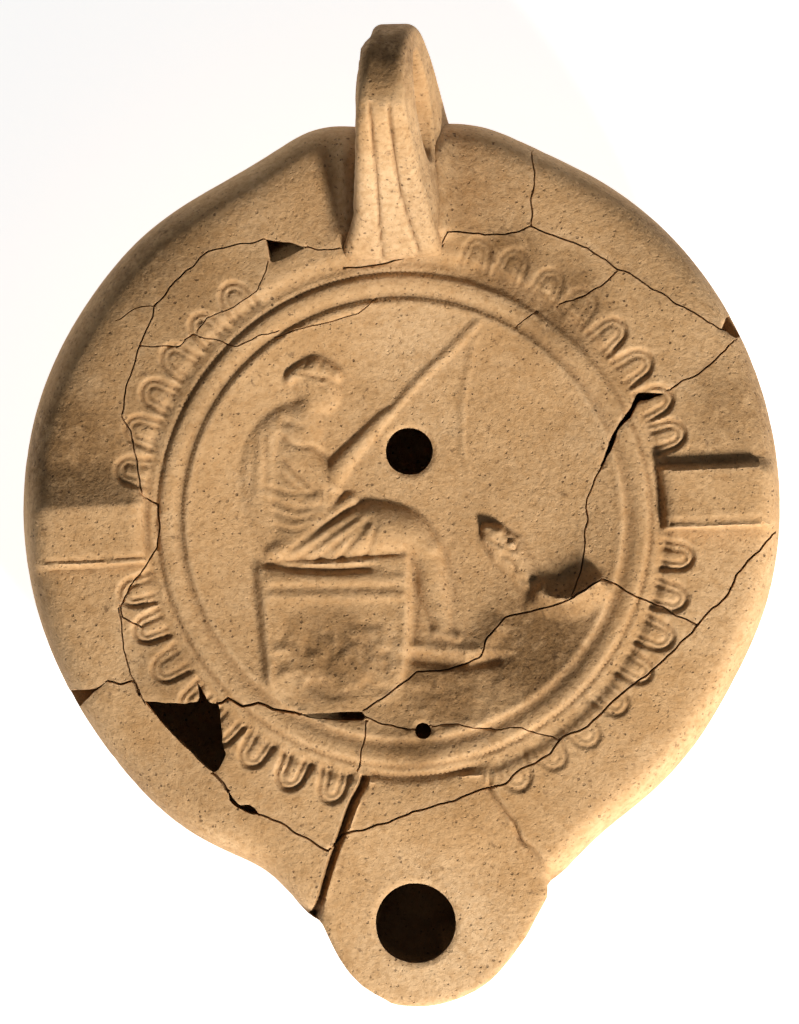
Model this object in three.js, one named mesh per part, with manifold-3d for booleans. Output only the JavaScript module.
// Mould-made clay oil lamp: round bowl, shoulder with stamped tongues, framed discus with a relief,
// one nozzle and one pierced handle, all fired as a single piece. It is broken, mended and chipped.
// Millimetres, +Z up. The base rests on z = 0, the handle is towards +Y and the nozzle towards -Y.
import * as THREE from 'three';
import { mergeVertices } from 'three/addons/utils/BufferGeometryUtils.js';
import Module from 'manifold-3d';

const wasm = await Module();
wasm.setup();

// Bowl
const bodyRadius = 42.4;
const widestHeight = 17.5;
const footRadius = 17;
const footHeight = 1.2;
const baseGroove = { from: 12.6, to: 14.2, depth: 0.5 };
const wallThickness = 2.6;

// Shoulder and ring frame; the ring sits a little off the bowl's axis, towards the nozzle
const ringCentre = { x: 0.2, y: -1.3 };
const shoulderInner = 28.9;
const shoulderHeight = 26.1;
const ringProfile = [
  [28.4, 26.15],
  [27.8, 25.15],
  [27.3, 25.75],
  [26.2, 26.2],
  [25.2, 25.95],
  [24.5, 25.2],
  [24.1, 25.75],
];
const discusEdgeHeight = 25.55;
const discusDish = 1.7;
const discusRadius = 23.6;

// Places where the rim swells out or is pressed in: angle and half-spread in degrees, size in mm
const rimSwells = [
  { angle: 50, spread: 18, size: 0.55 },
  { angle: 77, spread: 6, size: 1.1 },
  { angle: 100, spread: 5, size: 1.2 },
  { angle: 117, spread: 8, size: -0.7 },
  { angle: 142, spread: 10, size: -0.3 },
  { angle: 234, spread: 10, size: 0.9 },
  { angle: 253.5, spread: 5.5, size: 3 },
  { angle: 289, spread: 5.5, size: 2.2 },
  { angle: 330, spread: 8, size: -0.5 },
];

// Stamped tongues, in four runs between the lugs, the handle and the nozzle
const tongue = { width: 3.4, length: 4.2, start: 28.7, depth: 0.75, pad: 0.56, padDepth: 0.35 };
const tongueRuns = [
  { first: 15.2, step: 8.15, count: 8 },
  { first: 125.2, step: 8.5, count: 6 },
  { first: 192.3, step: 8.6, count: 8 },
  { first: 291.6, step: 8.3, count: 8 },
];

// Raised lugs across the shoulder, left and right
const lug = { width: 6.6, height: 1.3 };
const lugs = [
  { angle: 181, offset: 0.5 },
  { angle: 0, offset: 0.4 },
];

// Nozzle, seen from above, from the ring on the left round the tip to the ring on the right
const nozzleSide = [[-5.2, -30.2], [-6.8, -33.9], [-8.5, -37.8], [-10, -42.2], [-10.9, -45.2]];
const nozzleTip = [[-8.5, -50.4], [-5.7, -53.6], [-2.1, -55.3], [2.8, -55.1], [7.5, -53], [11.4, -48.8]];
const nozzleFar = [[14.5, -43.7], [14.6, -40.6], [11.4, -36.2], [9.4, -33], [8, -29.9]];
const nozzleRoot = { x: 2, y: -34 };
const nozzleLevels = [
  [5.2, 0.06],
  [9, 0.4],
  [13, 0.68],
  [17, 0.87],
  [21, 0.97],
  [24.4, 1],
  [25, 0.975],
];
const nozzleTopFall = 0.05;
const channelCentre = { x: 2, y: -41.5, z: 17 };
const channelShare = { plan: 0.77, height: 0.66 };

// Holes
const fillHole = { x: 1.1, y: 6.3, radius: 2.62 };
const airHole = { x: 1.4, y: -24.8, radius: 0.9 };
const wickHole = { x: -0.3, y: -46.1, radius: 4.45 };

// Handle: side outline in y and z, pierced by a slanting oval eye
const handleFront = [[27.3, 23.5], [28, 26.8], [29.6, 29.2], [33, 33.2], [37, 38], [40.4, 42], [43, 44.2]];
const handleBack = [[45.6, 44.5], [48.4, 43.2], [50.8, 40.6], [52.2, 37.2], [52.3, 33.6], [50.4, 28.6],
  [46.8, 23.4], [42.5, 17.5]];
const handleInside = [[38.5, 16.5], [32, 21]];
const handleEye = { y: 43.9, z: 33.6, long: 7.2, short: 3.8, slope: 45 };
const handleTop = 45;
const handleLean = 0.04;
const handleLeft = { top: -2.35, spread: 0.13 };
const handleRight = { top: 1.95, spread: 0.22 };
const handleRound = 0.9;
const handleGrooves = [
  [[-1.1, 29.2], [-1.4, 37.4], [-1.7, 42.2]],
  [[2.6, 29.6], [1.0, 36.0], [0.4, 41.6]],
];
const handleGrooveSize = { half: 0.5, depth: 0.55 };

// Relief on the discus: each ridge is a path in x and y with its half widths and height
const reliefSink = 0.5;
const figure = {
  head: { path: [[-9, 13.6], [-8.7, 15.2]], half: [2.7, 3], height: 1.9 },
  hairKnot: { path: [[-12, 14.9], [-11.6, 15.2]], half: [0.9, 0.9], height: 1.4 },
  neck: { path: [[-9.6, 10.6], [-9, 12.6]], half: [2, 1.6], height: 1.3 },
  back: { path: [[-11.8, 10.6], [-14.6, 8], [-15.4, 3.5], [-13.6, -2.6]], half: [2.4, 3], height: 1.2 },
  torso: { path: [[-10.4, 9.8], [-11.2, 5], [-10, -0.4]], half: [3, 3.4], height: 1.5 },
  upperArm: { path: [[-12, 9.6], [-10.4, 6.6], [-8, 3.6]], half: [1.7, 1.4], height: 2.1 },
  forearm: { path: [[-8, 3.5], [-4.6, 6.7], [-1.4, 10.3]], half: [1.35, 0.9], height: 1.9 },
  rod: { path: [[-2.9, 8.8], [2.6, 14.4], [8.5, 20.4]], half: [0.65, 0.35], height: 1.2 },
  line: { path: [[8.5, 19.8], [7.5, 11.7], [6.8, 5]], half: [0.3, 0.3], height: 0.75 },
  thigh: { path: [[-12.8, -3], [-6.9, -1.9], [-1.4, -1.7], [2.2, -2.6]], half: [2.6, 2.1], height: 2 },
  leg: { path: [[2.6, -3], [3.2, -8.1], [4.6, -13.6]], half: [1.7, 1.1], height: 1.6 },
  foot: { path: [[4.3, -14.4], [7, -15.6], [9.2, -16.3]], half: [1, 0.6], height: 1.1 },
  ledge: { path: [[-0.2, -16.3], [5.8, -17.3], [11.4, -17]], half: [0.5, 0.5], height: 0.9 },
  seatTop: { path: [[-16.2, -6.9], [0.6, -7.7]], half: [0.8, 0.8], height: 1.5 },
  seatBand: { path: [[-15.6, -9], [0, -9.8]], half: [0.5, 0.5], height: 1.3 },
  fish: { path: [[9.6, -1.6], [11.3, -4.5], [14.6, -9.2]], half: [0.8, 1.4], height: 1.3 },
  rock: { path: [[13.6, -8.6], [16.6, -10.4], [18.9, -11]], half: [0.6, 0.6], height: 1 },
};
const foldCount = 4;
const foldRoot = [-6, 0];
const foldSpread = { from: [-14.2, -3], to: [-7.4, -4.6], half: 0.4, height: 2.3 };
const seatBlock = {
  outline: [[-15.8, -6.6], [0.6, -7.2], [-0.6, -16], [-1, -20.6], [-15.4, -19.8]],
  height: 0.8,
};

// Breaks: pieces lost from the shell, open joins between fragments and nicks in the rim
const lostChip = [[-29.4, -20.2], [-24.2, -20.6], [-23.4, -18.4], [-22.1, -20.7], [-21.2, -21],
  [-20.9, -25.5], [-20.5, -26.6], [-22.1, -28.5]];
const smallChip = [[-13.9, 30.4], [-11.8, 30.2], [-9.6, 29.3], [-13.2, 27.8]];
const discusGap = [[30.1, 11.7], [26.8, 11.9], [25.9, 9.8], [23.7, 7.3], [22.5, 4.1], [24.4, 7.2],
  [26.3, 9.5], [27.2, 10.9]];
const lowerGap = [[-12.2, -22.3], [-5.3, -22.1], [-4.9, -22.9], [-11.1, -22.9]];
const rimNickLeft = [[-33.6, -18], [-37.4, -18.7], [-41.5, -19.5], [-39.5, -23.3], [-35, -19.3]];
const rimNickRight = [[40.5, 21.4], [37, 19.6], [36.3, 18.4], [37.7, 17.4], [41.5, 18.2]];
const breakFloor = 13;
const breakTop = 32;

const bodySegments = 54;
const cavitySegments = 36;
const clay = new THREE.MeshStandardMaterial({ color: 0xc9a171, roughness: 0.85, metalness: 0 });

const radians = THREE.MathUtils.degToRad;
const up = new THREE.Vector3(0, 0, 1);

// Moves every vertex of a geometry by a rule that changes the point it is given.
function shape(geometry, rule) {
  const position = geometry.attributes.position;
  const point = new THREE.Vector3();
  for (let i = 0; i < position.count; i += 1) {
    point.fromBufferAttribute(position, i);
    rule(point);
    position.setXYZ(i, point.x, point.y, point.z);
  }
  return geometry;
}

// Welds a closed geometry into a solid whose faces point outwards.
function solid(geometry) {
  const bare = geometry.clone();
  bare.deleteAttribute('normal');
  bare.deleteAttribute('uv');
  const welded = mergeVertices(bare, 1e-4);
  const points = welded.attributes.position;
  const corners = welded.index.array;
  const faces = [];
  const [a, b, c] = [new THREE.Vector3(), new THREE.Vector3(), new THREE.Vector3()];
  let volume = 0;
  for (let i = 0; i < corners.length; i += 3) {
    const face = [corners[i], corners[i + 1], corners[i + 2]];
    if (new Set(face).size < 3) {
      continue;
    }
    a.fromBufferAttribute(points, face[0]);
    b.fromBufferAttribute(points, face[1]);
    c.fromBufferAttribute(points, face[2]);
    volume += a.dot(b.cross(c));
    faces.push(face);
  }
  const outward = volume > 0 ? faces : faces.map((face) => face.reverse());
  return new wasm.Manifold(new wasm.Mesh({
    numProp: 3,
    vertProperties: new Float32Array(points.array),
    triVerts: new Uint32Array(outward.flat()),
  }));
}

// Turns a profile of radius and height about the Z axis.
function turned(profile, segments) {
  const points = profile.map(([radius, height]) => new THREE.Vector2(radius, height));
  return new THREE.LatheGeometry(points, segments).rotateX(Math.PI / 2);
}

// Upright prism over a plan outline, from one height to another.
function prism(outline, bottom, top) {
  const plan = new THREE.Shape(outline.map(([x, y]) => new THREE.Vector2(x, y)));
  const depth = top - bottom;
  return new THREE.ExtrudeGeometry(plan, { depth, bevelEnabled: false }).translate(0, 0, bottom);
}

function bore(hole, bottom, top, segments) {
  const geometry = new THREE.CylinderGeometry(hole.radius, hole.radius, top - bottom, segments);
  return solid(geometry.rotateX(Math.PI / 2).translate(hole.x, hole.y, (bottom + top) / 2));
}

// Rounded ridge along a smooth path, with half widths from start to end and a height above the path.
function bead(path, half, height, face, steps, sides = 4) {
  const curve = new THREE.CatmullRomCurve3(path);
  const geometry = new THREE.CapsuleGeometry(1, 1, sides > 4 ? 2 : 1, sides, steps);
  return solid(shape(geometry, (point) => {
    const along = THREE.MathUtils.clamp(point.y + 0.5, 0, 1);
    const beyond = point.y + 0.5 - along;
    const reach = THREE.MathUtils.lerp(half[0], half[1], along);
    const way = curve.getTangentAt(along);
    const side = new THREE.Vector3().crossVectors(face, way).normalize();
    const rise = point.z * height;
    const across = point.x * reach;
    point.copy(curve.getPointAt(along));
    point.addScaledVector(way, beyond * reach);
    point.addScaledVector(side, across);
    point.addScaledVector(face, rise);
  }));
}

// Height of the shoulder at a radius from the ring's centre.
function shoulder(radius) {
  const share = THREE.MathUtils.clamp((radius - shoulderInner) / (bodyRadius - shoulderInner), 0, 1);
  return widestHeight + (shoulderHeight - widestHeight) * (1 - share ** 2) ** 0.62;
}

// Height of the dished discus at a radius from the ring's centre.
function discus(radius) {
  return discusEdgeHeight - discusDish * (1 - (radius / discusRadius) ** 2);
}

// Shifts the upper half towards the ring's centre and lets the rim swell where it was handled.
function settle(point) {
  const radius = Math.hypot(point.x, point.y);
  const angle = THREE.MathUtils.radToDeg(Math.atan2(point.y, point.x));
  const swell = rimSwells.reduce((sum, { angle: at, spread, size }) => {
    const apart = THREE.MathUtils.euclideanModulo(angle - at + 180, 360) - 180;
    return sum + size * Math.exp(-0.5 * (apart / spread) ** 2);
  }, 0);
  const outer = THREE.MathUtils.smoothstep(radius, 30, bodyRadius);
  const grown = radius > 0 ? (radius + swell * outer) / radius : 1;
  const shift = point.z > widestHeight ? 1 - THREE.MathUtils.smoothstep(radius, 31, bodyRadius) : 0;
  point.x = point.x * grown + ringCentre.x * shift;
  point.y = point.y * grown + ringCentre.y * shift;
}

function arc(count, rule) {
  return Array.from({ length: count + 1 }, (_, i) => rule(i / count));
}

// Bowl profile from the base's centre, round the rim and over the ring to the discus's centre.
function bodyProfile() {
  const { from, to, depth } = baseGroove;
  const foot = [[0, 0], [from, 0], [from + 0.3, depth], [to - 0.3, depth], [to, 0], [footRadius, 0]];
  const bowl = arc(6, (share) => [
    footRadius - 0.2 + (bodyRadius - footRadius + 0.2) * Math.sin(share * Math.PI / 2),
    widestHeight - (widestHeight - footHeight) * Math.cos(share * Math.PI / 2),
  ]);
  const top = arc(6, (share) => {
    const radius = bodyRadius - (bodyRadius - shoulderInner) * (1 - Math.cos(share * Math.PI / 2)) ** 0.85;
    return [radius, shoulder(radius)];
  }).slice(1);
  const dish = [1, 0.8, 0.5, 0].map((share) => [discusRadius * share, discus(discusRadius * share)]);
  return [...foot, ...bowl, ...top, ...ringProfile, ...dish];
}

// Hollow of the bowl, one wall thickness inside the body.
function cavityProfile() {
  const inner = bodyRadius - wallThickness;
  const floorHeight = footHeight + wallThickness;
  const bowl = arc(5, (share) => [
    footRadius - 1 + (inner - footRadius + 1) * Math.sin(share * Math.PI / 2),
    widestHeight - (widestHeight - floorHeight) * Math.cos(share * Math.PI / 2),
  ]);
  const top = [39, 37, 34, 30].map((radius) => [radius, shoulder(radius + 1.4) - wallThickness * 0.9]);
  const lid = [[24, discus(24) - wallThickness - 0.4], [0, discus(0) - wallThickness]];
  return [[0, floorHeight], ...bowl, ...top, ...lid];
}

function nozzleOutline() {
  const tip = new THREE.SplineCurve([nozzleSide.at(-1), ...nozzleTip, nozzleFar[0]]
    .map(([x, y]) => new THREE.Vector2(x, y)));
  const round = tip.getSpacedPoints(12).map(({ x, y }) => [x, y]);
  return [...nozzleSide.slice(0, -1), ...round, ...nozzleFar.slice(1)];
}

// Nozzle solid: the plan outline shrinks towards the root as it goes down to the keel.
function nozzle() {
  const steps = nozzleLevels.length - 1;
  const plan = new THREE.Shape(nozzleOutline().map(([x, y]) => new THREE.Vector2(x, y)));
  const geometry = new THREE.ExtrudeGeometry(plan, { depth: steps, steps, bevelEnabled: false });
  return shape(geometry, (point) => {
    const [height, share] = nozzleLevels[Math.round(point.z)];
    const fall = point.z > steps - 1.5 ? nozzleTopFall * (nozzleRoot.y - point.y) : 0;
    const rise = point.z > steps - 1.5 ? 0.75 : 0;
    point.x = nozzleRoot.x + (point.x - nozzleRoot.x) * share;
    point.y = nozzleRoot.y + (point.y - nozzleRoot.y) * share;
    point.z = height + rise - fall;
  });
}

function nozzleChannel() {
  return shape(nozzle(), (point) => {
    point.x = channelCentre.x + (point.x - channelCentre.x) * channelShare.plan;
    point.y = channelCentre.y + (point.y - channelCentre.y) * channelShare.plan;
    point.z = channelCentre.z + (point.z - channelCentre.z) * channelShare.height;
  });
}

function handleFrontCurve() {
  return new THREE.SplineCurve([...handleFront, handleBack[0]].map(([y, z]) => new THREE.Vector2(y, z)));
}

// Handle: the side outline is spread in x, wider towards its foot, and leans a little to the right.
function handle() {
  const rim = [...handleFront, ...handleBack].map(([y, z]) => new THREE.Vector2(y, z));
  const outline = new THREE.SplineCurve(rim).getSpacedPoints(22);
  const inside = handleInside.map(([y, z]) => new THREE.Vector2(y, z));
  const side = new THREE.Shape([...outline, ...inside]);
  const { y, z, long, short, slope } = handleEye;
  const eye = new THREE.EllipseCurve(y, z, long, short, 0, 2 * Math.PI, false, radians(slope));
  side.holes.push(new THREE.Path(eye.getPoints(14).slice(1)));
  const geometry = new THREE.ExtrudeGeometry(side, {
    depth: 0.74,
    bevelThickness: 0.13,
    bevelSize: handleRound,
    bevelOffset: -handleRound,
    bevelSegments: 1,
  });
  return solid(shape(geometry, (point) => {
    const share = point.z + 0.13;
    const [along, height] = [point.x, point.y];
    const left = handleLeft.top - handleLeft.spread * (handleTop - height);
    const right = handleRight.top + handleRight.spread * (handleTop - height);
    const flare = 1 + 0.1 * THREE.MathUtils.smoothstep(30 - height, 0, 5);
    const lean = handleLean * (along - 43);
    point.set(THREE.MathUtils.lerp(left, right, share) * flare + lean, along, height);
  }));
}

function handleGroove(path) {
  const front = handleFrontCurve().getSpacedPoints(60);
  const face = new THREE.Vector3(0, -0.7, 0.71);
  const spots = path.map(([x, y]) => {
    const near = front.reduce((best, spot) => (Math.abs(spot.x - y) < Math.abs(best.x - y) ? spot : best));
    return new THREE.Vector3(x, near.x, near.y);
  });
  return bead(spots, [handleGrooveSize.half, handleGrooveSize.half], handleGrooveSize.depth, face, 3);
}

// Raised panel across the shoulder, from the ring to the rim, laid along +X and turned into place.
function lugPanel({ angle, offset }) {
  const radii = [shoulderInner + 0.3, 32, 35, 38, 40, 41.4];
  const crest = radii.map((radius) => {
    const fade = 1 - THREE.MathUtils.smoothstep(radius, 37, 42);
    return new THREE.Vector2(radius, shoulder(radius) + lug.height * fade);
  });
  const hidden = [[38, 16], [shoulderInner + 0.3, 21.5]];
  const section = new THREE.Shape([...crest, ...hidden.map(([r, z]) => new THREE.Vector2(r, z))]);
  const geometry = new THREE.ExtrudeGeometry(section, { depth: lug.width, bevelEnabled: false });
  geometry.rotateX(Math.PI / 2).translate(0, lug.width / 2 + offset, 0).rotateZ(radians(angle));
  return solid(geometry.translate(ringCentre.x * 0.5, ringCentre.y * 0.5, 0));
}

// Tongue outline: straight sides from the ring and a round outer end, along +X.
function tongueShape(width, length) {
  const half = width / 2;
  const plan = new THREE.Shape();
  plan.moveTo(0, half);
  plan.lineTo(0, -half);
  plan.absarc(length - half, 0, half, -Math.PI / 2, Math.PI / 2, false);
  return plan;
}

// Sunk tongue with a lower raised tongue left standing inside it, square to the sloping shoulder.
function tongueCut(angle) {
  const inset = tongue.width * (1 - tongue.pad) / 2;
  const outer = tongueShape(tongue.width, tongue.length);
  const inner = tongueShape(tongue.width * tongue.pad, tongue.length - inset);
  const hollow = new THREE.ExtrudeGeometry(outer, { depth: 3, curveSegments: 2, bevelEnabled: false });
  const raised = new THREE.ExtrudeGeometry(inner, { depth: 1, curveSegments: 1, bevelEnabled: false });
  hollow.translate(0, 0, -tongue.depth);
  raised.translate(-0.01, 0, -tongue.padDepth - 1);
  const middle = tongue.start + tongue.length / 2;
  const slope = Math.atan2(shoulder(middle - 1) - shoulder(middle + 1), 2);
  const place = (geometry) => solid(geometry
    .translate(-tongue.length / 2, 0, 0)
    .rotateY(slope)
    .translate(middle, 0, shoulder(middle))
    .rotateZ(radians(angle))
    .translate(ringCentre.x, ringCentre.y, 0));
  return place(hollow).subtract(place(raised));
}

function onDiscus([x, y]) {
  const radius = Math.hypot(x - ringCentre.x, y - ringCentre.y);
  return new THREE.Vector3(x, y, discus(radius) - reliefSink);
}

// Seated figure with rod and line, the block it sits on and the catch, as low rounded ridges.
function relief() {
  const ridges = Object.values(figure).map(({ path, half, height }) => {
    const steps = path.length - 1;
    const sides = half[0] > 1 ? 8 : 4;
    return bead(path.map(onDiscus), half, height + reliefSink, up, steps, sides);
  });
  const folds = arc(foldCount - 1, (share) => {
    const x = THREE.MathUtils.lerp(foldSpread.from[0], foldSpread.to[0], share);
    const y = THREE.MathUtils.lerp(foldSpread.from[1], foldSpread.to[1], share);
    const half = [foldSpread.half, foldSpread.half];
    return bead([foldRoot, [x, y]].map(onDiscus), half, foldSpread.height + reliefSink, up, 1);
  });
  const floorHeight = onDiscus(seatBlock.outline[3]).z;
  const topHeight = floorHeight + reliefSink + seatBlock.height;
  const block = solid(prism(seatBlock.outline, floorHeight - 0.8, topHeight));
  return [...ridges, ...folds, block];
}

function lampBody() {
  let body = solid(shape(turned(bodyProfile(), bodySegments), settle));
  for (const panel of lugs.map(lugPanel)) {
    body = body.add(panel);
  }
  for (const { first, step, count } of tongueRuns) {
    for (let i = 0; i < count; i += 1) {
      body = body.subtract(tongueCut(first + i * step));
    }
  }
  for (const ridge of relief()) {
    body = body.add(ridge);
  }
  body = body.add(solid(nozzle()));
  let arm = handle();
  for (const groove of handleGrooves.map(handleGroove)) {
    arm = arm.subtract(groove);
  }
  const hollow = solid(shape(turned(cavityProfile(), cavitySegments), settle));
  body = body.add(arm).subtract(hollow).subtract(solid(nozzleChannel()));
  body = body.subtract(bore(fillHole, breakFloor, breakTop, 18));
  body = body.subtract(bore(airHole, breakFloor, breakTop, 10));
  body = body.subtract(bore(wickHole, 18, breakTop, 24));
  for (const lost of [lostChip, smallChip, discusGap, lowerGap, rimNickLeft, rimNickRight]) {
    body = body.subtract(solid(prism(lost, breakFloor, breakTop)));
  }
  return body;
}

function mesh(name, body, material) {
  const { vertProperties, triVerts } = body.getMesh();
  const geometry = new THREE.BufferGeometry();
  geometry.setAttribute('position', new THREE.BufferAttribute(vertProperties, 3));
  geometry.setIndex(new THREE.BufferAttribute(triVerts, 1));
  geometry.computeVertexNormals();
  const part = new THREE.Mesh(geometry, material);
  part.name = name;
  return part;
}

const lamp = new THREE.Group();
lamp.add(mesh('lamp_body', lampBody(), clay));

export default lamp;
